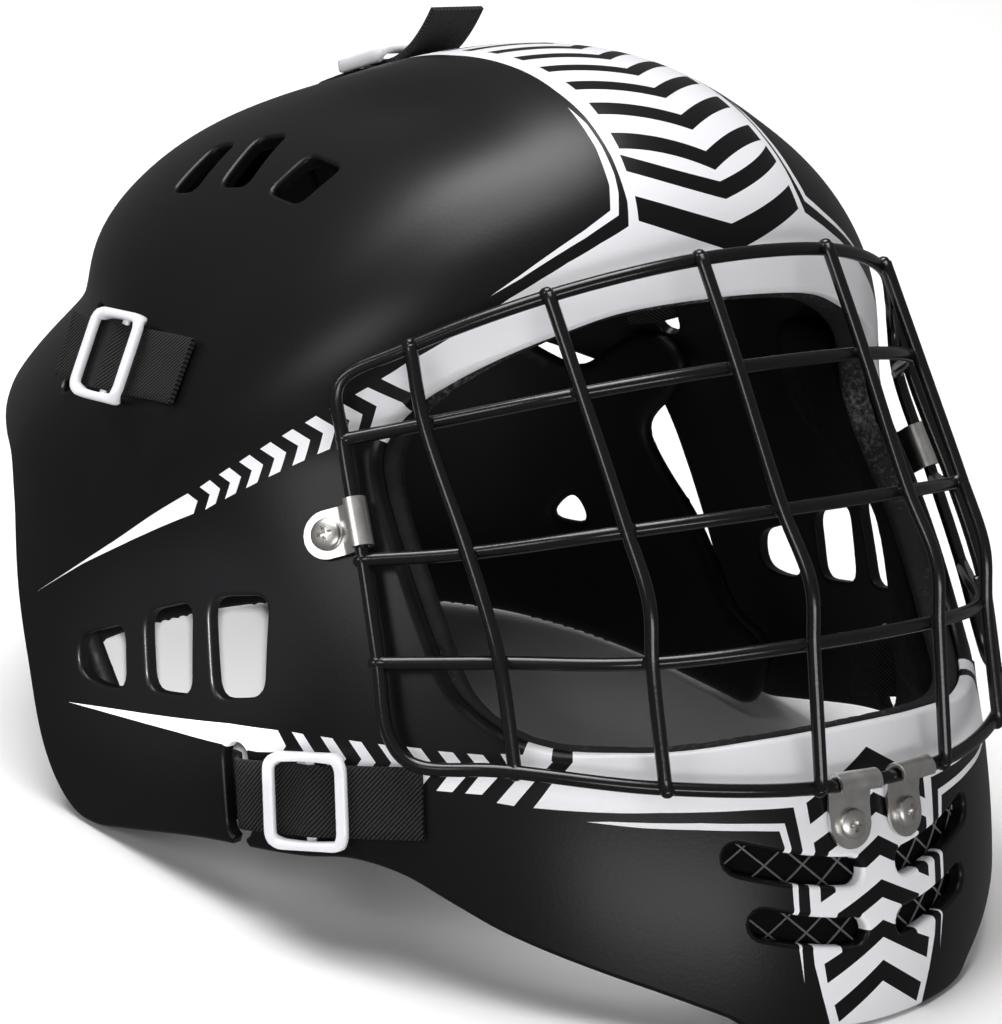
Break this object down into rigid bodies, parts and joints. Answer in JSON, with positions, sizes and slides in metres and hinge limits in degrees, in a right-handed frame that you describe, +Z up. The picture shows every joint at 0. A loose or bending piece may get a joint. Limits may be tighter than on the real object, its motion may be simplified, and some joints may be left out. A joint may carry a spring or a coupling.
{
  "type": "goalkeeper hockey helmet with wire cage",
  "caption": "Hard-shell goalkeeper-style hockey helmet with a welded wire face cage, chin vents, elastic rear straps with slides and a padded rear cradle.",
  "frame": {"origin": "midplane point on the surface the helmet stands on, below the middle of the crown", "axes": "+X to the wearer's left, -Y the way the wearer faces, +Z up"},
  "size_m": [0.2606, 0.33, 0.2195],
  "materials": {
    "shell": "satin black moulded shell with white painted stripes and chevrons",
    "cage_wire": "gloss black powder coat on round steel wire",
    "steel": "polished zinc-plated steel",
    "webbing": "black ribbed elastic webbing",
    "slide": "white moulded plastic",
    "foam": "black closed-cell foam lining",
    "mesh": "black woven mesh"
  },
  "bodies": {
    "root": {"shell": "shell", "cage": "cage_wire", "side_clip_right": "steel", "side_clip_right_screw": "steel", "side_clip_left": "steel", "side_clip_left_screw": "steel", "chin_clip_right": "steel", "chin_clip_right_screw": "steel", "chin_clip_left": "steel", "chin_clip_left_screw": "steel", "upper_strap_right": "webbing", "upper_slide_right": "slide", "lower_strap_right": "webbing", "lower_slide_right": "slide", "upper_strap_left": "webbing", "upper_slide_left": "slide", "lower_strap_left": "webbing", "lower_slide_left": "slide", "top_strap": "webbing", "top_slide": "slide", "opening_edging": "foam", "cheek_pad_right": "foam", "cheek_pad_left": "foam", "crown_pad": "foam", "chin_mesh": "mesh", "rear_pad": "foam"}
  },
  "joints": []
}
